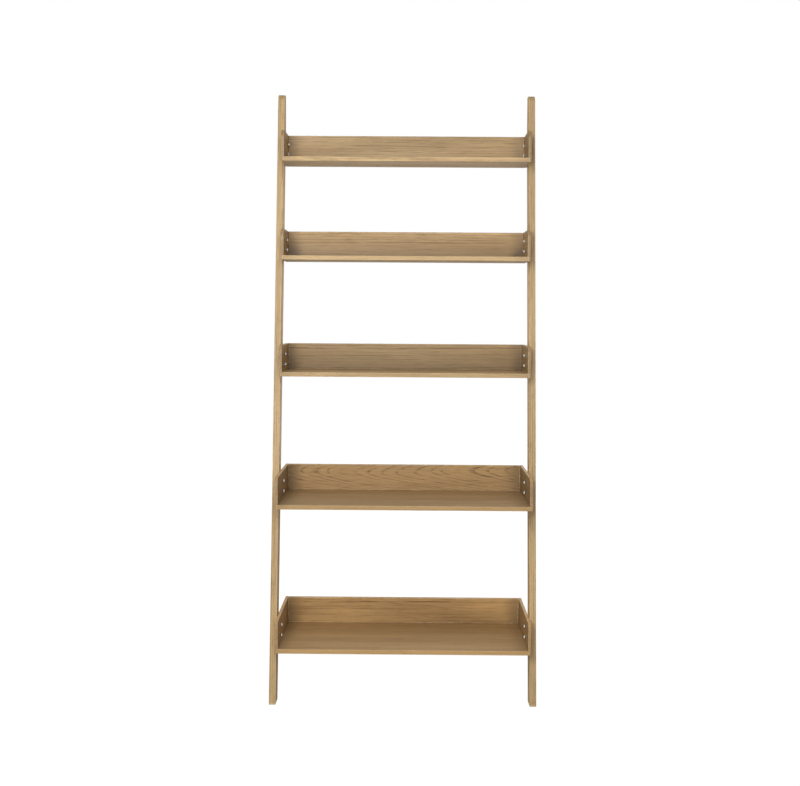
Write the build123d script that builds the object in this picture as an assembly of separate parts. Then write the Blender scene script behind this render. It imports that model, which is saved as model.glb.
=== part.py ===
from build123d import *
import math
import os

# Ladder shelf: two rails that lean on a wall, and five open trays bolted between them.
# X runs across the shelf, -Y is the front, +Z is up. Z = 0 is the floor.
# The origin is under the middle of the shelf. All sizes are in millimetres.

# Whole shelf
overall_width = 780.0

# Rails
rail_thickness = 20.0        # across the shelf
rail_width = 56.0            # front to back, square to the lean
foot_reach = 310.0           # from the wall to the front of the foot
rail_top_depth = 40.0        # from the wall to the front of the top end
rail_top_radius = 27.0       # round on the front of the top end
rail_edge_radius = 1.8
headroom = 121.0             # from the top tray's rim to the rail's top end

# Trays, from the bottom one up: name, depth from the wall, rise from the tray (or floor) below
trays = (
    ("bottom_tray", 340.0, 159.0),
    ("lower_tray", 340.0, 419.0),
    ("middle_tray", 222.0, 376.0),
    ("upper_tray", 172.0, 344.0),
    ("top_tray", 160.0, 292.0),
)
tray_height = 93.0
floor_thickness = 13.0
back_thickness = 12.0
cheek_thickness = 9.0
cheek_corner_radius = 25.0   # round on the front upper corner of a cheek
cheek_rebate = 5.0           # how far the floor runs into a cheek
board_edge_radius = 1.4
back_edge_radius = 2.0       # all round the front of a back board

# Dowels: a row stands in the floor under the back board, and two more hold each end of the back board
floor_dowel_count = 5
floor_dowel_margin = 55.0    # from a cheek's inner face to the first dowel
end_dowel_rises = (20.0, 60.0)   # above the floor's upper face
dowel_radius = 3.0
dowel_length = 20.0
dowel_in_floor = 8.0
dowel_in_cheek = 5.0
dowel_clearance = 0.05       # on the radius
dowel_hole_spare = 0.5       # air past each end of a dowel
dowel_chamfer = 0.6

# Button-head bolts, M6 x 20
bolt_rises = (32.5, 62.5)    # from the underside of a tray
bolt_radius = 3.0
bolt_length = 20.0
bolt_tip_chamfer = 0.7
bolt_head_radius = 5.25
bolt_head_height = 3.3
bolt_head_rim = 0.5          # straight edge under the dome
bolt_head_flat = 2.9         # radius of the flat on top of the dome
bolt_dome_bulge = 0.72       # height of the dome midway up, as a share of the dome's height
socket_across_flats = 4.0
socket_depth = 2.0
bolt_hole_clearance = 0.3    # on the radius, in a cheek

# Plain washers
washer_radius = 6.0
washer_thickness = 1.6
washer_clearance = 0.2       # on the radius, round the bolt
washer_edge = 0.25

# Threaded inserts in the rails
insert_radius = 4.5
insert_length = 12.0
insert_setback = 0.4         # below the rail's inner face
insert_groove_depth = 0.6
insert_groove_pitch = 2.0
insert_groove_width = 1.0
insert_land = 1.5            # plain length before the first groove
insert_clearance = 0.05      # on the radius, in the rail
thread_clearance = 0.05      # on the radius, round the bolt
insert_hole_spare = 1.6      # air past the inner end

# Keyhole plates let into the backs of the rails, flush with the wall
plate_width = 14.0
plate_length = 52.0
plate_thickness = 2.0
plate_drop = 50.0            # from the rail's top end to the middle of the plate
plate_clearance = 0.15
keyhole_entry_radius = 4.5
keyhole_slot_radius = 2.3
keyhole_travel = 12.0        # from the entry hole up to the seat
keyhole_pocket_depth = 8.0   # room behind the plate for a screw's head
keyhole_pocket_margin = 1.0
plate_screw_radius = 1.5
plate_screw_length = 16.0
plate_screw_head_radius = 3.0
plate_screw_inset = 6.0      # from the end of the plate
plate_screw_clearance = 0.1
plate_screw_point = 3.0      # length of the cone at the tip
screw_slot_width = 0.8
screw_slot_depth = 0.7

# How far a cutting shape runs past what it cuts, and how close an edge must lie to a point to be meant
cut_overrun = 1.0
edge_reach = 0.01

# Worked out from the sizes above
tray_bases = []
rise = 0.0
for _, _, gap in trays:
    rise += gap
    tray_bases.append(rise)
overall_height = tray_bases[-1] + tray_height + headroom
overall_depth = max([foot_reach] + [depth for _, depth, _ in trays])
wall_y = overall_depth / 2
lean = math.atan2(foot_reach - rail_top_depth, overall_height)
rail_level_depth = rail_width / math.cos(lean)   # front to back along the floor
rail_inner_x = overall_width / 2 - rail_thickness
cheek_inner_x = rail_inner_x - cheek_thickness
floor_end_x = cheek_inner_x + cheek_rebate
head_seat_x = cheek_inner_x - washer_thickness   # under side of a bolt head


def rail_front_y(z):
    """Front face of a rail at a height."""
    return wall_y - foot_reach + z * math.tan(lean)


def rail_centre_y(z):
    """Middle of a rail, front to back, at a height."""
    return rail_front_y(z) + rail_level_depth / 2


def place_on_side(piece, side, x, y, z):
    """Turn a piece built along +Z so that +Z points to the shelf's outer side."""
    return Pos(side * x, y, z) * Rot(0, side * 90, 0) * piece


def bolt_places(base):
    """Side, Y and Z of the four bolts of a tray."""
    return [
        (side, rail_centre_y(base + bolt_rise), base + bolt_rise)
        for side in (-1, 1)
        for bolt_rise in bolt_rises
    ]


def cylinder_up(radius, height, start=0.0):
    """A cylinder that stands on the plane Z = start."""
    return Pos(0, 0, start) * Cylinder(radius, height, align=(Align.CENTER, Align.CENTER, Align.MIN))


def block(x_range, y_range, z_range):
    """A box between two corners."""
    size = [high - low for low, high in (x_range, y_range, z_range)]
    corner = Pos(x_range[0], y_range[0], z_range[0])
    return corner * Box(*size, align=(Align.MIN, Align.MIN, Align.MIN))


def plate_in_yz(points, start_x, thickness):
    """A board with an outline in the YZ plane, from start_x towards +X."""
    outline = Plane.YZ * Polyline(*points, close=True)
    return Pos(start_x, 0, 0) * extrude(make_face(outline), amount=thickness)


def edges_along_x_near(piece, y, z):
    """The edges of a piece that run along X through a point of the YZ plane."""
    spot = Vector(0, y, z)
    return [
        edge for edge in piece.edges().filter_by(Axis.X)
        if (Vector(0, edge.center().Y, edge.center().Z) - spot).length < edge_reach
    ]


# ---------- fasteners, each built along +Z ----------

def make_bolt():
    """Head below Z = 0, shank above it."""
    crown = bolt_head_height - bolt_head_rim
    rise_at_middle = bolt_head_rim + crown * bolt_dome_bulge
    middle = (bolt_head_radius + bolt_head_flat) / 2
    outline = Polyline((0, -bolt_head_height), (0, 0), (bolt_head_radius, 0),
                       (bolt_head_radius, -bolt_head_rim))
    dome = ThreePointArc((bolt_head_radius, -bolt_head_rim), (middle, -rise_at_middle),
                         (bolt_head_flat, -bolt_head_height))
    top = Line((bolt_head_flat, -bolt_head_height), (0, -bolt_head_height))
    head = revolve(Plane.XZ * make_face([*outline.edges(), dome.edge(), top.edge()]), Axis.Z)
    hexagon = RegularPolygon(socket_across_flats / 2, 6, major_radius=False)
    socket = Pos(0, 0, -bolt_head_height) * extrude(hexagon, amount=socket_depth)
    shank = cylinder_up(bolt_radius - thread_clearance, bolt_length)
    shank = chamfer(shank.edges().group_by(Axis.Z)[-1], bolt_tip_chamfer)
    return head + shank - socket


def make_washer():
    """A flat ring above Z = 0."""
    ring = cylinder_up(washer_radius, washer_thickness)
    ring = chamfer(ring.edges().filter_by(GeomType.CIRCLE), washer_edge)
    return ring - cylinder_up(bolt_radius + washer_clearance, washer_thickness)


def make_insert():
    """A grooved sleeve above Z = 0."""
    sleeve = cylinder_up(insert_radius, insert_length)
    groove_start = insert_land
    while groove_start + insert_groove_width <= insert_length - insert_land:
        groove = cylinder_up(insert_radius + cut_overrun, insert_groove_width, groove_start)
        groove -= cylinder_up(insert_radius - insert_groove_depth, insert_groove_width, groove_start)
        sleeve -= groove
        groove_start += insert_groove_pitch
    return sleeve - cylinder_up(bolt_radius, insert_length)


def make_dowel():
    """A pin with chamfered ends above Z = 0."""
    pin = cylinder_up(dowel_radius, dowel_length)
    return chamfer(pin.edges().filter_by(GeomType.CIRCLE), dowel_chamfer)


def make_plate_screw():
    """A countersunk wood screw: the head's face is at Z = 0 and the point is above it."""
    head_height = plate_screw_head_radius - plate_screw_radius
    shank_end = plate_screw_length - plate_screw_point
    outline = Polyline(
        (0, 0), (plate_screw_head_radius, 0), (plate_screw_radius, head_height),
        (plate_screw_radius, shank_end), (0, plate_screw_length), close=True)
    screw = revolve(Plane.XZ * make_face(outline), Axis.Z)
    slot_half = plate_screw_head_radius + cut_overrun
    half_width = screw_slot_width / 2
    slot = block((-slot_half, slot_half), (-half_width, half_width), (0, screw_slot_depth))
    return screw - slot


bolt = make_bolt()
washer = make_washer()
insert = make_insert()
dowel = make_dowel()
plate_screw = make_plate_screw()

# ---------- keyhole plates ----------

plate_z = overall_height - plate_drop
plate_screw_offset = plate_length / 2 - plate_screw_inset


def against_wall(piece, x):
    """Move a piece built along +Z so that Z = 0 is the wall plane and +Z points away from it."""
    return Pos(x, wall_y, plate_z) * Rot(90, 0, 0) * piece


def stadium(length, radius, depth, start=0.0):
    """A slot-shaped block that stands on the plane Z = start, long along Y."""
    return Pos(0, 0, start) * extrude(Rot(0, 0, 90) * SlotOverall(length, 2 * radius), amount=depth)


def make_plate():
    """Keyhole plate: the entry hole is low and the narrow seat is above it."""
    plate = stadium(plate_length, plate_width / 2, plate_thickness)
    plate -= Pos(0, -keyhole_travel / 2, 0) * cylinder_up(keyhole_entry_radius, plate_thickness)
    slot_length = keyhole_travel + 2 * keyhole_slot_radius
    plate -= stadium(slot_length, keyhole_slot_radius, plate_thickness)
    for way in (-1, 1):
        centre = Pos(0, way * plate_screw_offset, 0)
        sink_radius = plate_screw_head_radius + plate_screw_clearance
        hole_radius = plate_screw_radius + plate_screw_clearance
        sink_depth = sink_radius - hole_radius
        sink = Pos(0, 0, sink_depth / 2) * Cone(sink_radius, hole_radius, sink_depth)
        plate -= centre * (sink + cylinder_up(hole_radius, plate_thickness))
    return plate


def make_plate_room():
    """What a rail loses to its plate, the screws and the wall screw's head."""
    room = stadium(plate_length + 2 * plate_clearance, plate_width / 2 + plate_clearance, plate_thickness)
    pocket_radius = keyhole_entry_radius + keyhole_pocket_margin
    pocket_length = keyhole_travel + 2 * pocket_radius
    room += stadium(pocket_length, pocket_radius, keyhole_pocket_depth, plate_thickness)
    for way in (-1, 1):
        hole = cylinder_up(plate_screw_radius + plate_screw_clearance, plate_screw_length + plate_screw_clearance)
        room += Pos(0, way * plate_screw_offset, 0) * hole
    return room


plate = make_plate()
plate_room = make_plate_room()

# ---------- rails ----------

wall_flat_base = (foot_reach - rail_level_depth) / math.tan(lean)


def make_rail(side):
    """A leaning board: level foot, level top end, and a flat against the wall at the top of its back."""
    start_x = -overall_width / 2 if side < 0 else rail_inner_x
    top_front_y = rail_front_y(overall_height)
    rail = plate_in_yz(
        [
            (rail_front_y(0), 0),
            (rail_front_y(0) + rail_level_depth, 0),
            (wall_y, wall_flat_base),
            (wall_y, overall_height),
            (top_front_y, overall_height),
        ],
        start_x, rail_thickness)
    top_edge = edges_along_x_near(rail, top_front_y, overall_height)
    rail = fillet(top_edge, rail_top_radius)
    arrises = rail.edges() - rail.edges().filter_by(Axis.X)
    rail = fillet(arrises, rail_edge_radius)
    hole_depth = insert_setback + insert_length + insert_hole_spare
    hole = cylinder_up(insert_radius + insert_clearance, hole_depth)
    for base in tray_bases:
        for bolt_side, y, z in bolt_places(base):
            if bolt_side == side:
                rail -= place_on_side(hole, side, rail_inner_x, y, z)
    return rail - against_wall(plate_room, side * (rail_inner_x + rail_thickness / 2))


# ---------- trays ----------

def make_cheek(side, base, depth):
    """The end of a tray, rebated along its bottom for the floor."""
    start_x = -rail_inner_x if side < 0 else cheek_inner_x
    front_y = wall_y - depth
    rim = base + tray_height
    cheek = plate_in_yz(
        [(front_y, base), (wall_y, base), (wall_y, rim), (front_y, rim)],
        start_x, cheek_thickness)
    cheek = fillet(edges_along_x_near(cheek, front_y, rim), cheek_corner_radius)
    arrises = cheek.edges() - cheek.edges().filter_by(Axis.X)
    cheek = fillet(arrises, board_edge_radius)
    x_range = sorted((side * cheek_inner_x, side * floor_end_x))
    cheek -= block(x_range, (front_y, wall_y), (base, base + floor_thickness))
    hole = cylinder_up(bolt_radius + bolt_hole_clearance, cheek_thickness)
    for bolt_side, y, z in bolt_places(base):
        if bolt_side == side:
            cheek -= place_on_side(hole, side, cheek_inner_x, y, z)
    return cheek - dowel_holes(base)


def dowel_places(base):
    """Each dowel of a tray: its inner end's place, turned so that +Z runs along it."""
    y = wall_y - back_thickness / 2
    floor_top = base + floor_thickness
    first_x = -cheek_inner_x + floor_dowel_margin
    pitch = -2 * first_x / (floor_dowel_count - 1)
    upright = [Pos(first_x + i * pitch, y, floor_top - dowel_in_floor) for i in range(floor_dowel_count)]
    end_x = cheek_inner_x + dowel_in_cheek - dowel_length
    level = [
        Pos(side * end_x, y, floor_top + dowel_rise) * Rot(0, side * 90, 0)
        for side in (-1, 1)
        for dowel_rise in end_dowel_rises
    ]
    return upright + level


def dowel_holes(base):
    """The room for the dowels, with a little air past each end."""
    hole = cylinder_up(dowel_radius + dowel_clearance, dowel_length + 2 * dowel_hole_spare, -dowel_hole_spare)
    return [place * hole for place in dowel_places(base)]


def make_floor(base, depth):
    """The board that a tray's load rests on; it reaches the wall under the back board."""
    front_y = wall_y - depth
    floor = block((-floor_end_x, floor_end_x), (front_y, wall_y), (base, base + floor_thickness))
    front_edges = edges_along_x_near(floor, front_y, base)
    front_edges += edges_along_x_near(floor, front_y, base + floor_thickness)
    return fillet(front_edges, board_edge_radius) - dowel_holes(base)


def make_back(base):
    """The upright board against the wall; it stands on the floor board, between the cheeks."""
    front_y = wall_y - back_thickness
    rim = base + tray_height
    back = block((-cheek_inner_x, cheek_inner_x), (front_y, wall_y), (base + floor_thickness, rim))
    front_edges = back.faces().sort_by(Axis.Y)[0].edges()
    rear_edge = edges_along_x_near(back, wall_y, rim)
    return fillet([*front_edges, *rear_edge], back_edge_radius) - dowel_holes(base)


def make_bolts(base):
    return [place_on_side(bolt, side, head_seat_x, y, z) for side, y, z in bolt_places(base)]


def make_washers(base):
    return [place_on_side(washer, side, head_seat_x, y, z) for side, y, z in bolt_places(base)]


def make_inserts(base):
    x = rail_inner_x + insert_setback
    return [place_on_side(insert, side, x, y, z) for side, y, z in bolt_places(base)]


def make_dowels(base):
    return [place * dowel for place in dowel_places(base)]


# ---------- everything, by node name ----------

os.makedirs("parts", exist_ok=True)

nodes = {}
for side, side_name in ((-1, "left"), (1, "right")):
    rail_x = side * (rail_inner_x + rail_thickness / 2)
    nodes[f"{side_name}_rail"] = [make_rail(side)]
    nodes[f"{side_name}_wall_plate"] = [against_wall(plate, rail_x)]
    nodes[f"{side_name}_plate_screws"] = [
        against_wall(Pos(0, way * plate_screw_offset, 0) * plate_screw, rail_x) for way in (-1, 1)
    ]

for (tray_name, tray_depth, _), tray_base in zip(trays, tray_bases):
    nodes[f"{tray_name}_floor"] = [make_floor(tray_base, tray_depth)]
    nodes[f"{tray_name}_back"] = [make_back(tray_base)]
    nodes[f"{tray_name}_left_cheek"] = [make_cheek(-1, tray_base, tray_depth)]
    nodes[f"{tray_name}_right_cheek"] = [make_cheek(1, tray_base, tray_depth)]
    nodes[f"{tray_name}_dowels"] = make_dowels(tray_base)
    nodes[f"{tray_name}_bolts"] = make_bolts(tray_base)
    nodes[f"{tray_name}_washers"] = make_washers(tray_base)
    nodes[f"{tray_name}_inserts"] = make_inserts(tray_base)

for name, pieces in nodes.items():
    solids = [solid for piece in pieces for solid in piece.solids()]
    shape = solids[0] if len(solids) == 1 else Compound(solids)
    export_step(shape, f"parts/{name}.step")

print(f"{len(nodes)} nodes, {overall_width:.0f} x {overall_depth:.0f} x {overall_height:.0f} mm, "
      f"lean {math.degrees(lean):.2f} degrees")
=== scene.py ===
import math

import bmesh
import bpy
from mathutils import Matrix, Vector


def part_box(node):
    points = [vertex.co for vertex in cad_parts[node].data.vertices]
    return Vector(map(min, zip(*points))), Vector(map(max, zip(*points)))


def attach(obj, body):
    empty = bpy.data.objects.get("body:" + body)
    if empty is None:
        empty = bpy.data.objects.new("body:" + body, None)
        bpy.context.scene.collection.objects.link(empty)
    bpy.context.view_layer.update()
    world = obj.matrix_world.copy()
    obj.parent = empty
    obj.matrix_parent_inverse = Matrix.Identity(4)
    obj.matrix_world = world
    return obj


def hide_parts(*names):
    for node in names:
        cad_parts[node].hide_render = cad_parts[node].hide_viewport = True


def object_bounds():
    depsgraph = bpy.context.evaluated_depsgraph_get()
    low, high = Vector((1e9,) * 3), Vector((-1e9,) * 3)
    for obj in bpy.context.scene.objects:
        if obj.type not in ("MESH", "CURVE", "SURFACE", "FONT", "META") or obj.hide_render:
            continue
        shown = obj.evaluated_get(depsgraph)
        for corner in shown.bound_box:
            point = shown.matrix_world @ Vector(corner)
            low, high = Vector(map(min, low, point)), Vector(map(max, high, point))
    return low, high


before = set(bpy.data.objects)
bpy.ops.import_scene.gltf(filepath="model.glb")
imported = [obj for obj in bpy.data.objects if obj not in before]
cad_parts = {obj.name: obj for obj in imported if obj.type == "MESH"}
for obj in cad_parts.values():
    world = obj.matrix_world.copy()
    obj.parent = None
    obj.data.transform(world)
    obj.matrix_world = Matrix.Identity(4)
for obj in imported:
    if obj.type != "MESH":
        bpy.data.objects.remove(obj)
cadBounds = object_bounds()
print("frame loaded:", len(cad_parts), "nodes")

trayNames = ["bottom_tray", "lower_tray", "middle_tray", "upper_tray", "top_tray"]
sideNames = {"left": -1, "right": 1}


def boxOf(node):
    low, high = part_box(node)
    return Vector(low), Vector(high)


def addNode(tree, kind, settings=None, inputs=None):
    node = tree.nodes.new("ShaderNode" + kind)
    for key, value in (settings or {}).items():
        setattr(node, key, value)
    for key, value in (inputs or {}).items():
        plug(tree, node.inputs[key], value)
    return node


def plug(tree, socket, value):
    # a socket is linked, anything else is set
    if isinstance(value, bpy.types.NodeSocket):
        tree.links.new(value, socket)
    else:
        socket.default_value = value


def maths(tree, operation, first, second=0.0, third=0.0, clamp=False):
    settings = {"operation": operation, "use_clamp": clamp}
    return addNode(tree, "Math", settings, {0: first, 1: second, 2: third}).outputs[0]


def vectors(tree, operation, first, second=(0, 0, 0)):
    node = addNode(tree, "VectorMath", {"operation": operation}, {0: first, 1: second})
    return node.outputs["Value" if operation == "LENGTH" else "Vector"]


def spread(tree, value, fromLow, fromHigh, toLow=0.0, toHigh=1.0, smooth=True):
    settings = {"interpolation_type": "SMOOTHSTEP" if smooth else "LINEAR"}
    inputs = {"Value": value, "From Min": fromLow, "From Max": fromHigh, "To Min": toLow, "To Max": toHigh}
    return addNode(tree, "MapRange", settings, inputs).outputs["Result"]


noiseRange = (0.3, 0.7)     # where most values of a noise lie


def noise(tree, vector, stretch, detail=2.0, roughness=0.5, output=0):
    # stretch is cells per metre along, across and through the board; output 1 is three noises at once
    scaled = vectors(tree, "MULTIPLY", vector, stretch)
    inputs = {"Vector": scaled, "Scale": 1.0, "Detail": detail, "Roughness": roughness}
    return addNode(tree, "TexNoise", {"noise_dimensions": "3D"}, inputs).outputs[output]


def splitVector(tree, vector):
    return addNode(tree, "SeparateXYZ", None, {0: vector}).outputs


def joinVector(tree, first, second, third):
    return addNode(tree, "CombineXYZ", None, {0: first, 1: second, 2: third}).outputs[0]


def blendColour(tree, factor, first, second, mode="MIX"):
    node = addNode(tree, "Mix", {"data_type": "RGBA", "blend_type": mode})
    plug(tree, node.inputs[0], factor)
    plug(tree, node.inputs[6], first)
    plug(tree, node.inputs[7], second)
    return node.outputs[2]


def newMaterial(name):
    material = bpy.data.materials.new(name)
    material.use_nodes = True
    tree = material.node_tree
    tree.nodes.clear()
    output = addNode(tree, "OutputMaterial")
    shader = addNode(tree, "BsdfPrincipled")
    tree.links.new(shader.outputs[0], output.inputs[0])
    return material, tree, shader


oakLook = {
    "seedStep": (3.17, 1.71, 2.39),       # metres through the tree from one seed to the next
    "warp": {"stretch": (2.0, 10.0, 10.0), "detail": 1.5, "roughness": 0.45},   # wander of whole rings
    "wave": {"stretch": (7.0, 55.0, 55.0)},                                     # small waves in a ring
    "waveSize": 0.0013,
    "growthPace": 0.31,                   # wide and narrow years come and go over about three rings
    "growthSwing": 2.6,
    "faintestYear": 0.15,
    "earlyRise": (0.0, 0.05),             # share of a ring in which the open early wood begins
    "earlyPeak": 0.06,
    "broken": {"stretch": (17.0, 140.0, 140.0), "roughness": 0.55},
    "brokenRange": (0.32, 0.64),
    "brokenStrength": (0.08, 1.30),
    "tone": {"stretch": (1.6, 16.0, 16.0)},                                     # light and dark areas
    "toneGloss": (-0.04, 0.05),
    "streak": {"stretch": (7.0, 260.0, 260.0), "detail": 3.0, "roughness": 0.62},
    "streakSwing": 0.17,
    "dash": {"stretch": (20.0, 400.0, 400.0), "roughness": 0.55},
    "dashRange": (0.54, 0.68),
    "dashDark": 0.24,
    "fibre": {"stretch": (22.0, 1300.0, 1300.0), "roughness": 0.6},
    "fibreSwing": 0.10,
    "pore": {"stretch": (75.0, 1900.0, 1900.0), "detail": 1.0, "roughness": 0.4},
    "poreRange": (0.57, 0.72),
    "poreDark": 0.55,
    "poreInLate": 0.25,                   # pores in late wood, as a share of those in early wood
    "baseDark": 0.18,                     # how far clear wood is towards the dark colour
    "endReach": 0.055,                    # how far in from a board's end the painted corner shade reaches
    "endWander": 0.012,
    "lowReach": (-1.0, 0.9),              # painted shade at the lower edge: from the lower edge up, in half widths from the middle
    "endFacing": (0.45, 0.95),
    "sideFacing": (0.3, 0.95),
    "wearWidth": 0.0042,
    "wearFade": (0.45, 1.35),             # in arris widths from a face
    "wearSwing": 1.2,
    "arrisJitter": {"stretch": (30.0, 260.0, 260.0), "roughness": 0.6},
    # painted highlight: the light colour made paler for the narrow edge faces
    "edgeHighlightTint": (1.25, 1.25, 1.25, 1),
    "poreColour": (0.10, 0.062, 0.032, 1),
    # colour of the painted shade at board ends and lower edges
    "paintedShadeColour": (0.125, 0.082, 0.044, 1),
    "endGrainColour": (0.25, 0.155, 0.10, 1),
    # colour of the painted shade on the flat faces
    "flatShadeColour": (0.070, 0.047, 0.026, 1),
    # pale arris colour: partly real wear, partly a painted highlight
    "wornAndHighlitColour": (0.80, 0.64, 0.42, 1),
    "roughness": 0.46,
    "poreRougher": 0.16,
    "wornSmoother": -0.05,
    "poreHeight": -1.0,
    "earlyHeight": -0.35,
    "fibreHeight": 0.35,
    "coat": 0.04,
    "coatRoughness": 0.40,
    "specular": 0.28,
    "bumpDistance": 0.00022,
    "bumpStrength": 0.55,
}


def oakRings(tree, start, wood):
    # early wood, in rings round a pith that runs along the board and wanders
    look = oakLook
    half = (0.5, 0.5, 0.5)
    slow = vectors(tree, "SUBTRACT", noise(tree, wood, **look["warp"], output=1), half)
    slow = vectors(tree, "MULTIPLY", slow, joinVector(tree, 0.0, start["Wander"], start["Wander"]))
    wave = vectors(tree, "SUBTRACT", noise(tree, wood, **look["wave"], output=1), half)
    wave = vectors(tree, "MULTIPLY", wave, (0.0, look["waveSize"] * 2, look["waveSize"] * 2))
    bent = vectors(tree, "ADD", vectors(tree, "ADD", start["Place"], slow), wave)
    fromPith = vectors(tree, "SUBTRACT", bent, start["Pith"])
    radius = vectors(tree, "LENGTH", vectors(tree, "MULTIPLY", fromPith, (0.0, 1.0, 1.0)))
    along = splitVector(tree, fromPith)[0]
    radius = maths(tree, "ADD", radius, maths(tree, "MULTIPLY", along, start["Taper"]))
    ring = maths(tree, "DIVIDE", radius, start["RingGap"])
    pace = maths(tree, "MULTIPLY", ring, look["growthPace"])
    growth = addNode(tree, "TexNoise", {"noise_dimensions": "1D"}, {"W": pace, "Scale": 1.0})
    ring = maths(tree, "ADD", ring, maths(tree, "MULTIPLY", growth.outputs[0], look["growthSwing"]))
    within = maths(tree, "FRACT", ring)
    whole = maths(tree, "FLOOR", ring)
    year = addNode(tree, "TexWhiteNoise", {"noise_dimensions": "1D"}, {"W": whole}).outputs[0]
    rise = spread(tree, within, *look["earlyRise"])
    fall = spread(tree, within, look["earlyPeak"], start["Band"], 1.0, 0.0)
    early = maths(tree, "MULTIPLY", rise, fall)
    early = maths(tree, "MULTIPLY", early, maths(tree, "MAXIMUM", year, look["faintestYear"]))
    broken = noise(tree, wood, **look["broken"])
    broken = spread(tree, broken, *look["brokenRange"], *look["brokenStrength"])
    return maths(tree, "MULTIPLY", early, broken)


def oakPores(tree, wood, early):
    # pores gather in the early wood
    inLate = oakLook["poreInLate"]
    pore = spread(tree, noise(tree, wood, **oakLook["pore"]), *oakLook["poreRange"])
    return maths(tree, "MULTIPLY", pore, maths(tree, "MULTIPLY_ADD", early, 1 - inLate, inLate))


def oakWood(tree, start, wood, early, tone, fibre):
    # every pattern moves the wood from its light colour towards its dark one
    look = oakLook
    streak = noise(tree, wood, **look["streak"])
    dash = spread(tree, noise(tree, wood, **look["dash"]), *look["dashRange"])
    depth = maths(tree, "MULTIPLY", early, start["Figure"])
    blotch = maths(tree, "SUBTRACT", spread(tree, tone, *noiseRange), 0.5)
    depth = maths(tree, "MULTIPLY_ADD", blotch, start["Blotch"], depth)
    depth = maths(tree, "MULTIPLY_ADD", dash, look["dashDark"], depth)
    for pattern, swing in ((streak, look["streakSwing"]), (fibre, look["fibreSwing"])):
        depth = maths(tree, "ADD", depth, spread(tree, pattern, *noiseRange, -swing, swing, False))
    depth = maths(tree, "ADD", depth, look["baseDark"], clamp=True)
    return blendColour(tree, depth, start["Light"], start["Dark"])


def oakPaintedShade(tree, start, colour, tone, fromFace):
    # painted shade of the tray corners: darker towards the ends and the lower edge
    wander = oakLook["endWander"]
    uneven = spread(tree, tone, *noiseRange, -wander, wander, False)
    toEnd = maths(tree, "ADD", fromFace[0], uneven)
    endDark = spread(tree, toEnd, 0.0, oakLook["endReach"], 1.0, 0.0)
    endDark = maths(tree, "MULTIPLY", endDark, start["EndDark"])
    halfWidth = splitVector(tree, start["HalfSize"])[1]
    across = maths(tree, "DIVIDE", splitVector(tree, start["Place"])[1], halfWidth)
    lowDark = spread(tree, across, *oakLook["lowReach"], 1.0, 0.0, False)
    lowDark = maths(tree, "MULTIPLY", lowDark, start["LowDark"])
    paintedShade = maths(tree, "ADD", endDark, lowDark, clamp=True)
    return blendColour(tree, paintedShade, colour, oakLook["paintedShadeColour"])


def oakFaces(tree, start, colour):
    # end grain is darker, the narrow edge faces get a painted highlight, and the flat faces can get painted
    # shade
    look = oakLook
    paintedHighlight = blendColour(tree, 1.0, start["Light"], look["edgeHighlightTint"], "MULTIPLY")
    kinds = (
        ("endFacing", "EndShade", look["endGrainColour"]),
        ("sideFacing", "EdgeLight", paintedHighlight),
        ("sideFacing", "FlatDark", look["flatShadeColour"]),
    )
    for part, (reach, strength, tint) in zip(splitVector(tree, start["Facing"]), kinds):
        share = spread(tree, maths(tree, "ABSOLUTE", part), *look[reach])
        colour = blendColour(tree, maths(tree, "MULTIPLY", share, start[strength]), colour, tint)
    # Shade scales the whole board: partly its own tone, partly painted light and shade for each tray
    shade = joinVector(tree, start["Shade"], start["Shade"], start["Shade"])
    return blendColour(tree, 1.0, colour, shade, "MULTIPLY")


def oakWearAndHighlight(tree, wood, fromFace):
    # arrises are paler where two faces meet: partly rubbed wear, partly a painted highlight on the rounded
    # edges
    width = oakLook["wearWidth"]
    fade = [width * share for share in oakLook["wearFade"]]
    arrisJitter = maths(tree, "MULTIPLY", noise(tree, wood, **oakLook["arrisJitter"]), width * oakLook["wearSwing"])
    atFace = [spread(tree, maths(tree, "ADD", axis, arrisJitter), *fade, 1.0, 0.0) for axis in fromFace]
    pairs = [maths(tree, "MULTIPLY", atFace[i], atFace[j]) for i, j in ((0, 1), (1, 2), (0, 2))]
    return maths(tree, "MAXIMUM", maths(tree, "MAXIMUM", pairs[0], pairs[1]), pairs[2])


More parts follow.
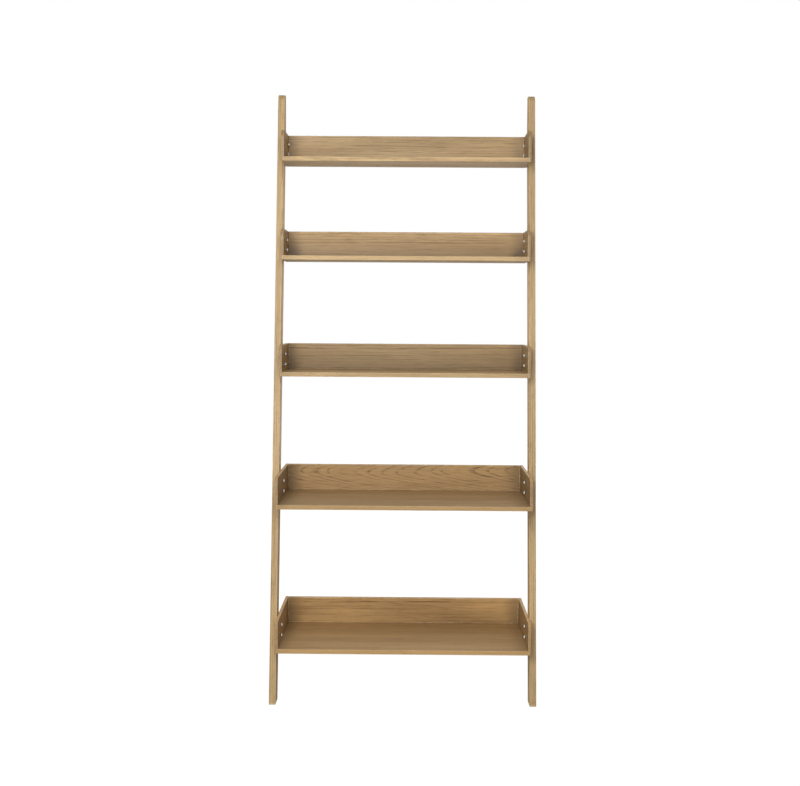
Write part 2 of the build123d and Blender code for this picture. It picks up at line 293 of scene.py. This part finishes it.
def buildOakGroup():
    tree = bpy.data.node_groups.new("oakGrain", "ShaderNodeTree")
    for name in ("Place", "HalfSize", "Pith", "Facing"):
        tree.interface.new_socket(name, in_out="INPUT", socket_type="NodeSocketVector")
    for name in (
        "Seed", "Taper", "RingGap", "Wander", "Figure", "Band", "Blotch", "Wear", "Shade",
        "EndDark", "LowDark", "EdgeLight", "FlatDark", "EndShade",
    ):
        tree.interface.new_socket(name, in_out="INPUT", socket_type="NodeSocketFloat")
    for name in ("Light", "Dark"):
        tree.interface.new_socket(name, in_out="INPUT", socket_type="NodeSocketColor")
    for name, kind in (("Colour", "Color"), ("Roughness", "Float"), ("Height", "Float")):
        tree.interface.new_socket(name, in_out="OUTPUT", socket_type="NodeSocket" + kind)
    start = tree.nodes.new("NodeGroupInput").outputs
    end = tree.nodes.new("NodeGroupOutput").inputs
    look = oakLook

    # every board is cut from its own part of the tree
    steps = [maths(tree, "MULTIPLY", start["Seed"], size) for size in look["seedStep"]]
    wood = vectors(tree, "ADD", start["Place"], joinVector(tree, *steps))
    inward = vectors(tree, "SUBTRACT", start["HalfSize"], vectors(tree, "ABSOLUTE", start["Place"]))
    fromFace = splitVector(tree, inward)
    tone = noise(tree, wood, **look["tone"])
    fibre = noise(tree, wood, **look["fibre"])
    early = oakRings(tree, start, wood)
    pore = oakPores(tree, wood, early)
    wornAndHighlit = oakWearAndHighlight(tree, wood, fromFace)

    colour = oakWood(tree, start, wood, early, tone, fibre)
    colour = blendColour(tree, maths(tree, "MULTIPLY", pore, look["poreDark"]), colour, look["poreColour"])
    colour = oakPaintedShade(tree, start, colour, tone, fromFace)
    colour = oakFaces(tree, start, colour)
    colour = blendColour(tree, maths(tree, "MULTIPLY", wornAndHighlit, start["Wear"]), colour, look["wornAndHighlitColour"])

    rough = maths(tree, "MULTIPLY_ADD", pore, look["poreRougher"], look["roughness"])
    rough = maths(tree, "ADD", rough, spread(tree, tone, *noiseRange, *look["toneGloss"]))
    rough = maths(tree, "MULTIPLY_ADD", wornAndHighlit, look["wornSmoother"], rough)
    height = maths(tree, "MULTIPLY", early, look["earlyHeight"])
    height = maths(tree, "MULTIPLY_ADD", pore, look["poreHeight"], height)
    height = maths(tree, "MULTIPLY_ADD", fibre, look["fibreHeight"], height)
    tree.links.new(colour, end["Colour"])
    tree.links.new(rough, end["Roughness"])
    tree.links.new(height, end["Height"])
    return tree


oakGroup = buildOakGroup()

# light and dark wood, kept as linear colours
oakColours = {
    "upper": ((0.62, 0.430, 0.215, 1), (0.22, 0.138, 0.064, 1)),
    "lower": ((0.60, 0.375, 0.160, 1), (0.19, 0.105, 0.040, 1)),
    "lowerGrey": ((0.585, 0.375, 0.170, 1), (0.180, 0.108, 0.046, 1)),
    "rail": ((0.62, 0.435, 0.215, 1), (0.27, 0.172, 0.080, 1)),
}


oakCut = {
    "colours": "upper",
    "pith": (0, 0.16, -0.05),   # where the heart of the tree lies from the board's middle
    "taper": 0.004,
    "ringGap": 0.0068,
    "wander": 0.014,
    "figure": 0.85,             # how strong the rings are
    "band": 0.42,               # share of a ring that is early wood
    "blotch": 0.30,
    # paler arrises: partly real wear, partly a painted highlight along the rounded edges
    "wear": 0.34,
    # scales the whole board: partly its own tone, partly painted light and shade
    "shade": 1.0,
    # endDark and lowDark paint shade towards the board ends and the lower edge
    "endDark": 0.30,
    "lowDark": 0.0,
    # painted highlight on the narrow edge faces, such as the floors' front edges
    "edgeLight": 0.12,
    # painted shade on the broad flat faces, strongest on the cheeks of the lower trays
    "flatDark": 0.0,
    "endShade": 0.26,
}


def makeOak(name, seed, turn, centre, halfSize, changes):
    # turn brings the grain onto X, the board's width onto Y and its thickness onto Z
    cut = {**oakCut, **changes}
    light, dark = oakColours[cut["colours"]]
    material, tree, shader = newMaterial(name)
    rotation = turn.to_euler("XYZ")
    coordinates = addNode(tree, "TexCoord").outputs
    place = addNode(tree, "Mapping", {"vector_type": "POINT"}, {
        "Vector": coordinates["Object"],
        "Location": -(turn @ centre),
        "Rotation": rotation,
    }).outputs[0]
    facing = addNode(tree, "Mapping", {"vector_type": "NORMAL"}, {
        "Vector": coordinates["Normal"],
        "Rotation": rotation,
    }).outputs[0]
    inputs = {
        "Place": place,
        "Facing": facing,
        "HalfSize": halfSize,
        "Seed": seed,
        "Light": light,
        "Dark": dark,
    }
    for key, value in cut.items():
        if key != "colours":
            inputs[key[0].upper() + key[1:]] = value
    grain = addNode(tree, "Group", {"node_tree": oakGroup}, inputs).outputs
    bump = addNode(tree, "Bump", None, {
        "Height": grain["Height"],
        "Distance": oakLook["bumpDistance"],
        "Strength": oakLook["bumpStrength"],
    })
    plug(tree, shader.inputs["Base Color"], grain["Colour"])
    plug(tree, shader.inputs["Roughness"], grain["Roughness"])
    plug(tree, shader.inputs["Normal"], bump.outputs[0])
    shader.inputs["Specular IOR Level"].default_value = oakLook["specular"]
    shader.inputs["Coat Weight"].default_value = oakLook["coat"]
    shader.inputs["Coat Roughness"].default_value = oakLook["coatRoughness"]
    return material


metalLook = {
    "stain": {"stretch": (240.0, 240.0, 240.0), "detail": 3.0, "roughness": 0.6},
    "stainRange": (0.45, 0.75),
    "stainStrength": (0.0, 0.45),
    "scratchRange": (0.25, 0.75),
    "scratchAcross": 4,         # scratches are this many times finer across than along
    "roughSwing": (-0.07, 0.10),
    "bumpDistance": 0.00004,
    "bumpStrength": 0.35,
}
metalKinds = {
    "zincSteel": {"colour": (0.97, 0.97, 0.96, 1), "tarnish": (0.80, 0.79, 0.77, 1),
                  "roughness": 0.18, "metallic": 0.45},
    # the washers are coloured near black as a painted shadow round the bolt heads
    "washerSteelPaintedShadow": {"colour": (0.050, 0.048, 0.045, 1), "tarnish": (0.022, 0.021, 0.020, 1),
                    "roughness": 0.36},
    "plateSteel": {"colour": (0.60, 0.60, 0.58, 1), "roughness": 0.38, "scratches": 400.0},
    "screwSteel": {"colour": (0.70, 0.66, 0.52, 1), "roughness": 0.32},
    "insertBrass": {"colour": (0.72, 0.53, 0.27, 1), "tarnish": (0.32, 0.22, 0.11, 1),
                    "roughness": 0.30},
}


def makeMetal(name, colour, roughness, tarnish=(0.30, 0.28, 0.25, 1), scratches=900.0, metallic=1.0):
    material, tree, shader = newMaterial(name)
    coordinates = addNode(tree, "TexCoord").outputs["Object"]
    stain = noise(tree, coordinates, **metalLook["stain"])
    stain = spread(tree, stain, *metalLook["stainRange"], *metalLook["stainStrength"])
    across = scratches * metalLook["scratchAcross"]
    scratch = noise(tree, coordinates, (scratches, across, across), roughness=0.6)
    gloss = [roughness + swing for swing in metalLook["roughSwing"]]
    bump = addNode(tree, "Bump", None, {
        "Height": scratch,
        "Distance": metalLook["bumpDistance"],
        "Strength": metalLook["bumpStrength"],
    })
    plug(tree, shader.inputs["Base Color"], blendColour(tree, stain, colour, tarnish))
    plug(tree, shader.inputs["Roughness"], spread(tree, scratch, *metalLook["scratchRange"], *gloss))
    plug(tree, shader.inputs["Normal"], bump.outputs[0])
    shader.inputs["Metallic"].default_value = metallic
    return material


def dress(node, material):
    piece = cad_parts[node]
    piece.data.materials.clear()
    piece.data.materials.append(material)


metals = {name: makeMetal(name, **values) for name, values in metalKinds.items()}


beechLook = {
    "line": {"stretch": (90.0, 90.0, 420.0), "detail": 3.0, "roughness": 0.6},
    "fleck": {"stretch": (700.0, 700.0, 260.0), "detail": 1.0, "roughness": 0.4},
    "fleckRange": (0.60, 0.70),
    "fleckStrength": (0.0, 0.5),
    "lightColour": (0.62, 0.43, 0.27, 1),
    "darkColour": (0.48, 0.31, 0.18, 1),
    "fleckColour": (0.36, 0.21, 0.11, 1),
    "roughness": (0.55, 0.68),
    "bumpDistance": 0.0001,
    "bumpStrength": 0.4,
}


def makeBeech():
    material, tree, shader = newMaterial("beech")
    coordinates = addNode(tree, "TexCoord").outputs["Object"]
    line = noise(tree, coordinates, **beechLook["line"])
    fleck = noise(tree, coordinates, **beechLook["fleck"])
    fleck = spread(tree, fleck, *beechLook["fleckRange"], *beechLook["fleckStrength"])
    share = spread(tree, line, *noiseRange)
    colour = blendColour(tree, share, beechLook["lightColour"], beechLook["darkColour"])
    bump = addNode(tree, "Bump", None, {
        "Height": line,
        "Distance": beechLook["bumpDistance"],
        "Strength": beechLook["bumpStrength"],
    })
    plug(tree, shader.inputs["Base Color"], blendColour(tree, fleck, colour, beechLook["fleckColour"]))
    plug(tree, shader.inputs["Roughness"], spread(tree, line, *noiseRange, *beechLook["roughness"]))
    plug(tree, shader.inputs["Normal"], bump.outputs[0])
    return material


beech = makeBeech()
print("materials made")

boardShape = {
    "arris": 0.0014,            # round on the long edges of floors and cheeks
    "backArris": 0.0020,        # all round the front of a back board
    "cheekCorner": 0.025,       # round on the front upper corner of a cheek
    "rebate": 0.005,            # how far the floor runs into a cheek
    "floorThickness": 0.013,
    "arrisSteps": 4,
    "cornerSteps": 18,
    "sharpAngle": 50,           # degrees
    "samePlane": 0.00001,       # points nearer than this count as in one plane
}


def boxMesh(low, high):
    bm = bmesh.new()
    bmesh.ops.create_cube(bm, size=1.0)
    bmesh.ops.scale(bm, vec=high - low, verts=bm.verts)
    bmesh.ops.translate(bm, vec=(low + high) / 2, verts=bm.verts)
    return bm


def edgesAt(bm, axis, value, alongAxis=None):
    # edges in the plane where this axis has this value, and along one axis if that is given
    found = set()
    for edge in bm.edges:
        ends = [vert.co for vert in edge.verts]
        run = ends[1] - ends[0]
        inPlane = all(abs(end[axis] - value) < boardShape["samePlane"] for end in ends)
        if inPlane and (alongAxis is None or abs(run[alongAxis]) > 0.99 * run.length):
            found.add(edge)
    return found


def roundEdges(bm, edges, radius, steps):
    bmesh.ops.bevel(
        bm, geom=list(edges), offset=radius, offset_type="OFFSET", segments=steps, profile=0.5,
        affect="EDGES", material=-1, clamp_overlap=True,
    )


def addBoard(name, bm, material, node):
    bmesh.ops.recalc_face_normals(bm, faces=bm.faces)
    mesh = bpy.data.meshes.new(name)
    bm.to_mesh(mesh)
    bm.free()
    mesh.materials.append(material)
    mesh.shade_smooth()
    mesh.set_sharp_from_angle(angle=math.radians(boardShape["sharpAngle"]))
    piece = bpy.data.objects.new(name, mesh)
    bpy.context.scene.collection.objects.link(piece)
    weighted = piece.modifiers.new("flatFaces", "WEIGHTED_NORMAL")
    weighted.keep_sharp = True
    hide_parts(node)
    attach(piece, "root")


def floorMesh(low, high):
    # a plain board with its two front edges rounded
    bm = boxMesh(low, high)
    roundEdges(bm, edgesAt(bm, 1, low.y, alongAxis=0), boardShape["arris"], boardShape["arrisSteps"])
    return bm


def backMesh(low, high):
    # rounded all round the front and along the top of the back
    bm = boxMesh(low, high)
    edges = edgesAt(bm, 1, low.y)
    edges |= edgesAt(bm, 1, high.y, alongAxis=0) & edgesAt(bm, 2, high.z)
    roundEdges(bm, edges, boardShape["backArris"], boardShape["arrisSteps"])
    return bm


def cheekMesh(low, high, side):
    # the end outline is an L: a full board with a rebate along its bottom inner edge
    outer, inner = (low.x, high.x) if side < 0 else (high.x, low.x)
    split = inner + side * boardShape["rebate"]
    step = low.z + boardShape["floorThickness"]
    bm = bmesh.new()
    bmesh.ops.create_grid(bm, x_segments=2, y_segments=2, size=1.0)
    notch = []
    for face in bm.faces:
        middle = face.calc_center_median()
        if middle.x > 0 and middle.y < 0:
            notch.append(face)
    bmesh.ops.delete(bm, geom=notch, context="FACES")
    columns = {-1: outer, 0: split, 1: inner}
    rows = {-1: low.z, 0: step, 1: high.z}
    for vert in bm.verts:
        vert.co = Vector((columns[round(vert.co.x)], low.y, rows[round(vert.co.y)]))
    pushed = bmesh.ops.extrude_face_region(bm, geom=list(bm.faces), use_keep_orig=True)["geom"]
    pushed = [part for part in pushed if isinstance(part, bmesh.types.BMVert)]
    bmesh.ops.translate(bm, vec=(0, high.y - low.y, 0), verts=pushed)
    bmesh.ops.dissolve_limit(bm, angle_limit=0.01, verts=bm.verts, edges=bm.edges)
    frontTop = edgesAt(bm, 1, low.y, alongAxis=0) & edgesAt(bm, 2, high.z)
    roundEdges(bm, frontTop, boardShape["cheekCorner"], boardShape["cornerSteps"])
    rim = (edgesAt(bm, 0, outer) | edgesAt(bm, 0, inner)) - edgesAt(bm, 2, step)
    roundEdges(bm, rim, boardShape["arris"], boardShape["arrisSteps"])
    return bm


floorTurn = Matrix.Identity(3)
backTurn = Matrix.Rotation(math.radians(-90), 3, "X")      # width is Z, thickness is Y
cheekTurn = Matrix.Rotation(math.radians(90), 3, "X") @ Matrix.Rotation(math.radians(-90), 3, "Z")

trayCuts = {
    "bottom_tray": {
        "floor": {"colours": "lower", "pith": (0, 0.30, -0.09), "wander": 0.02, "figure": 0.30,
                  "band": 0.40, "ringGap": 0.0050, "blotch": 0.20, "shade": 0.87, "edgeLight": 0.46},
        "back": {"colours": "lower", "pith": (0, 0.13, -0.05), "wander": 0.018, "figure": 0.62,
                 "ringGap": 0.0075, "blotch": 0.70, "shade": 1.10, "wear": 1.0, "endDark": 0.45,
                 "lowDark": 0.26},
        "cheek": {"colours": "lower", "shade": 1.10, "flatDark": 0.42, "edgeLight": 0.4},
    },
    "lower_tray": {
        "floor": {"colours": "lowerGrey", "pith": (0, 0.35, -0.08), "figure": 0.26, "band": 0.40,
                  "ringGap": 0.0070, "blotch": 0.16, "shade": 0.80, "edgeLight": 0.36},
        "back": {"colours": "lowerGrey", "pith": (0, 0.017, -0.026), "taper": -0.115, "wander": 0.016,
                 "figure": 0.76, "band": 0.38, "ringGap": 0.0050, "blotch": 0.26, "shade": 0.92,
                 "wear": 0.8, "endDark": 0.50, "lowDark": 0.16},
        "cheek": {"colours": "lowerGrey", "shade": 1.0, "flatDark": 0.48, "edgeLight": 0.4},
    },
    "middle_tray": {
        "floor": {"figure": 0.60, "blotch": 0.22, "shade": 0.90},
        "back": {"pith": (0, 0.14, -0.05), "figure": 0.82, "ringGap": 0.0080, "shade": 0.80,
                 "endDark": 0.42, "lowDark": 0.56},
        "cheek": {"shade": 0.96, "flatDark": 0.20},
    },
    "upper_tray": {
        "floor": {"figure": 0.55, "blotch": 0.20, "shade": 1.02},
        "back": {"pith": (0, 0.12, -0.04), "taper": 0.008, "figure": 0.55, "ringGap": 0.0078,
                 "shade": 1.07, "endDark": 0.44, "lowDark": 0.76},
        "cheek": {"shade": 0.96, "flatDark": 0.08},
    },
    "top_tray": {
        "floor": {"figure": 0.40, "blotch": 0.16, "shade": 1.08, "edgeLight": 0.14},
        "back": {"pith": (0, -0.13, -0.05), "figure": 1.15, "ringGap": 0.0058, "shade": 0.92,
                 "endDark": 0.38, "lowDark": 0.26},
        "cheek": {"shade": 0.92, "flatDark": 0.06},
    },
}
cheekPith = (0, 0.12, -0.04)
boardSeeds = {"floor": 1.3, "back": 7.9, "cheek": 15.2, "rail": 41.3}


def boardOak(node, seed, turn, changes):
    low, high = boxOf(node)
    halfSize = Vector([abs(part) for part in turn @ ((high - low) / 2)])
    return makeOak(node + "_oak", seed, turn, (low + high) / 2, halfSize, changes)


for index, tray in enumerate(trayNames):
    cuts = trayCuts[tray]
    node = f"{tray}_floor"
    material = boardOak(node, boardSeeds["floor"] + index, floorTurn, cuts["floor"])
    addBoard(node + "_board", floorMesh(*boxOf(node)), material, node)
    node = f"{tray}_back"
    material = boardOak(node, boardSeeds["back"] + index, backTurn, cuts["back"])
    addBoard(node + "_board", backMesh(*boxOf(node)), material, node)
    for sideName, side in sideNames.items():
        node = f"{tray}_{sideName}_cheek"
        seed = boardSeeds["cheek"] + index * 2 + side
        material = boardOak(node, seed, cheekTurn, {"pith": cheekPith, **cuts["cheek"]})
        addBoard(node + "_board", cheekMesh(*boxOf(node), side), material, node)
    dress(f"{tray}_bolts", metals["zincSteel"])
    dress(f"{tray}_washers", metals["washerSteelPaintedShadow"])
    dress(f"{tray}_inserts", metals["insertBrass"])
    dress(f"{tray}_dowels", beech)
print("trays made")

railShape = {"width": 0.056, "topDepth": 0.040}
railCut = {"colours": "rail", "pith": (0, 0.05, -0.09), "taper": 0.003, "figure": 0.95,
           "ringGap": 0.0066, "edgeLight": 0.0, "endDark": 0.0, "endShade": 0.0}
railTurn = Matrix(((0, 0, 1), (0, -1, 0), (1, 0, 0)))      # length onto X, width onto Y, thickness onto Z
wallY = cadBounds[1][1]
for sideName, side in sideNames.items():
    low, high = boxOf(f"{sideName}_rail")
    lean = math.atan2(wallY - low.y - railShape["topDepth"], high.z)
    turn = railTurn @ Matrix.Rotation(lean, 3, "X")
    width = railShape["width"]
    middleY = low.y + width / 2 / math.cos(lean) + high.z / 2 * math.tan(lean)
    centre = Vector(((low.x + high.x) / 2, middleY, high.z / 2))
    halfSize = Vector((high.z / 2 / math.cos(lean), width / 2, (high.x - low.x) / 2))
    material = makeOak(f"{sideName}_rail_oak", boardSeeds["rail"] + side, turn, centre, halfSize, railCut)
    dress(f"{sideName}_rail", material)
    dress(f"{sideName}_wall_plate", metals["plateSteel"])
    dress(f"{sideName}_plate_screws", metals["screwSteel"])
print("rails dressed")

stageLook = {
    "floorSize": 12.0,
    "whiteFrom": 0.25,          # metres from the middle of the shelf
    "whiteTo": 1.1,
    "whiteShare": (0.93, 1.0),
    "whiteStrength": 1.06,
    "speck": {"stretch": (400.0, 400.0, 400.0)},
    "darker": (0.58, 0.58, 0.57, 1),
    "lighter": (0.62, 0.62, 0.61, 1),
    "roughness": 0.8,
    "specular": 0.1,
}


def makeStageFloor():
    bm = bmesh.new()
    bmesh.ops.create_grid(bm, x_segments=2, y_segments=2, size=stageLook["floorSize"] / 2)
    mesh = bpy.data.meshes.new("studio_floor")
    bm.to_mesh(mesh)
    bm.free()
    floor = bpy.data.objects.new("studio_floor", mesh)
    bpy.context.scene.collection.objects.link(floor)
    material, tree, shader = newMaterial("studioFloor")
    coordinates = addNode(tree, "TexCoord").outputs["Object"]
    away = vectors(tree, "LENGTH", coordinates)
    speck = noise(tree, coordinates, **stageLook["speck"])
    shader.inputs["Roughness"].default_value = stageLook["roughness"]
    shader.inputs["Specular IOR Level"].default_value = stageLook["specular"]
    grey = blendColour(tree, speck, stageLook["darker"], stageLook["lighter"])
    plug(tree, shader.inputs["Base Color"], grey)
    white = addNode(tree, "Emission", None, {"Color": (1, 1, 1, 1), "Strength": stageLook["whiteStrength"]})
    mix = addNode(tree, "MixShader")
    share = spread(tree, away, stageLook["whiteFrom"], stageLook["whiteTo"], *stageLook["whiteShare"])
    seen = addNode(tree, "LightPath").outputs["Is Camera Ray"]
    plug(tree, mix.inputs[0], maths(tree, "MULTIPLY", share, seen))
    tree.links.new(shader.outputs[0], mix.inputs[1])
    tree.links.new(white.outputs[0], mix.inputs[2])
    output = next(node for node in tree.nodes if node.type == "OUTPUT_MATERIAL")
    tree.links.new(mix.outputs[0], output.inputs[0])
    mesh.materials.append(material)


makeStageFloor()

worldLook = {
    "front": 0.20,
    "side": 0.13,
    "above": 0.20,
    "behind": 0.80,
    "frontFade": (-0.1, -0.9),
    "behindFade": (0.2, 0.9),
    "aboveFade": (0.2, 0.9),
    "wallTint": (1.0, 0.86, 0.68, 1),
}


def makeWorld():
    world = bpy.data.worlds.new("studio")
    world.use_nodes = True
    tree = world.node_tree
    tree.nodes.clear()
    direction = addNode(tree, "TexCoord").outputs["Generated"]
    parts = splitVector(tree, direction)
    front = spread(tree, parts[1], *worldLook["frontFade"])
    behind = spread(tree, parts[1], *worldLook["behindFade"])
    above = spread(tree, parts[2], *worldLook["aboveFade"])
    strength = worldLook["side"]
    for share, name in ((front, "front"), (behind, "behind"), (above, "above")):
        strength = maths(tree, "MULTIPLY_ADD", share, worldLook[name] - worldLook["side"], strength)
    tint = blendColour(tree, behind, (1, 1, 1, 1), worldLook["wallTint"])
    lit = addNode(tree, "Background", None, {"Color": tint, "Strength": strength})
    seen = addNode(tree, "Background", None, {"Color": (1, 1, 1, 1), "Strength": 1.0})
    mix = addNode(tree, "MixShader", None, {0: addNode(tree, "LightPath").outputs["Is Camera Ray"]})
    tree.links.new(lit.outputs[0], mix.inputs[1])
    tree.links.new(seen.outputs[0], mix.inputs[2])
    output = addNode(tree, "OutputWorld")
    tree.links.new(mix.outputs[0], output.inputs[0])
    bpy.context.scene.world = world


makeWorld()

warmWhite = (1.0, 0.985, 0.96)
softLights = {
    "keySoftbox": {"place": (-0.35, -2.7, 1.76), "size": (1.5, 1.6), "power": 62.0,
                   "colour": (1.0, 0.985, 0.955)},
    "topSoftbox": {"place": (0.2, -1.6, 3.4), "size": (2.0, 1.0), "power": 8.0,
                   "colour": (0.97, 0.99, 1.0)},
    "wallSoftbox": {"place": (0.5, 3.2, 1.0), "size": (2.2, 1.6), "power": 4.0, "colour": warmWhite},
    "leftSoftbox": {"place": (-2.4, 2.1, 0.7), "size": (0.9, 1.8), "power": 14.0, "colour": warmWhite},
    "rightSoftbox": {"place": (2.4, 2.1, 0.7), "size": (0.9, 1.8), "power": 14.0, "colour": warmWhite},
}
lightTarget = Vector((0, 0, cadBounds[1][2] * 0.5))
for name, values in softLights.items():
    lamp = bpy.data.lights.new(name, "AREA")
    lamp.shape = "RECTANGLE"
    lamp.size, lamp.size_y = values["size"]
    lamp.energy = values["power"]
    lamp.color = values["colour"]
    light = bpy.data.objects.new(name, lamp)
    light.location = values["place"]
    light.rotation_euler = (lightTarget - Vector(values["place"])).to_track_quat("-Z", "Y").to_euler()
    light.visible_camera = False
    bpy.context.scene.collection.objects.link(light)

cameraView = {
    "sensor": 36.0,
    "lens": 57.92,
    "place": (0.0081, -3.8275, 1.1433),
    "pitch": 0.0623,       # radians down from level
    "yaw": 0.0057,
    "roll": 0.0064,
}
camera = bpy.data.objects.new("camera", bpy.data.cameras.new("camera"))
camera.data.sensor_width = cameraView["sensor"]
camera.data.lens = cameraView["lens"]
camera.matrix_world = (
    Matrix.Translation(cameraView["place"])
    @ Matrix.Rotation(cameraView["yaw"], 4, "Z")
    @ Matrix.Rotation(math.pi / 2 - cameraView["pitch"], 4, "X")
    @ Matrix.Rotation(cameraView["roll"], 4, "Z")
)
bpy.context.scene.collection.objects.link(camera)
bpy.context.scene.camera = camera
bpy.context.scene.view_settings.view_transform = "Standard"
print("stage, light and camera ready")
